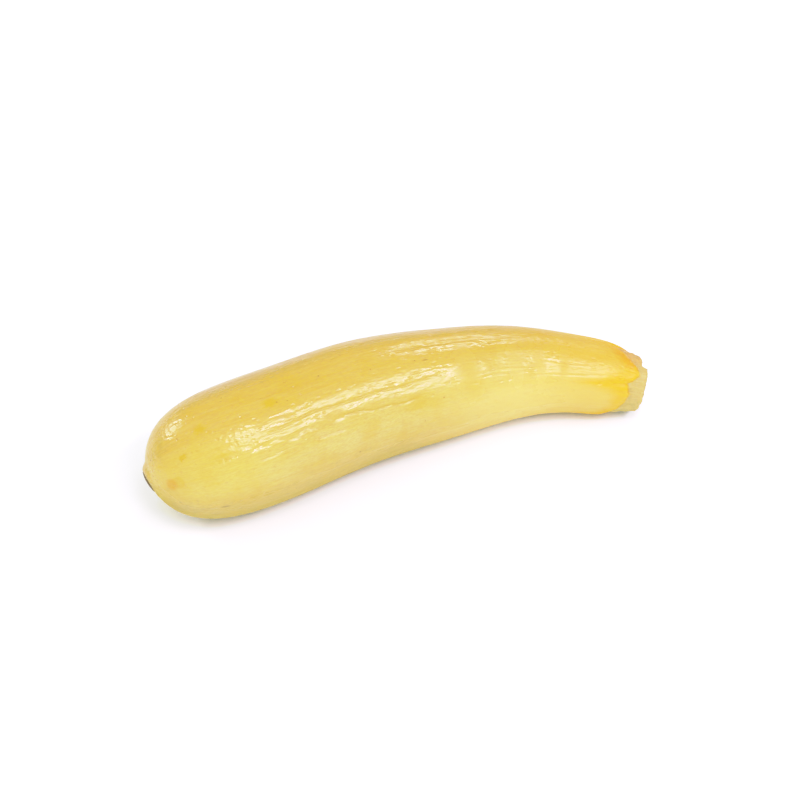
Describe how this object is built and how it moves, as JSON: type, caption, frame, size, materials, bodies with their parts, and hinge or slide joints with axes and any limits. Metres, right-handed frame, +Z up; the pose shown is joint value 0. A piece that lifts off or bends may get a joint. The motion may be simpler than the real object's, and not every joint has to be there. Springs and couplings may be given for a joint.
{
  "type": "zucchini",
  "caption": "Whole yellow zucchini: a gently bent, tapering fruit with a cut stem stub, lobed skin at the stem and a small blossom scar.",
  "frame": {"origin": "under the middle of the fruit's bounding box, at the level of the table it lies on", "axes": "+X along the fruit from the blossom end to the cut stem, +Y to the outer side of its bend, +Z up"},
  "size_m": [0.1976, 0.0576, 0.0486],
  "materials": {
    "skin": "smooth waxy yellow fruit skin with a soft gloss; pale green-cream cut stem; dry brown blossom scar"
  },
  "bodies": {
    "root": {"zucchini": "skin"}
  },
  "joints": []
}
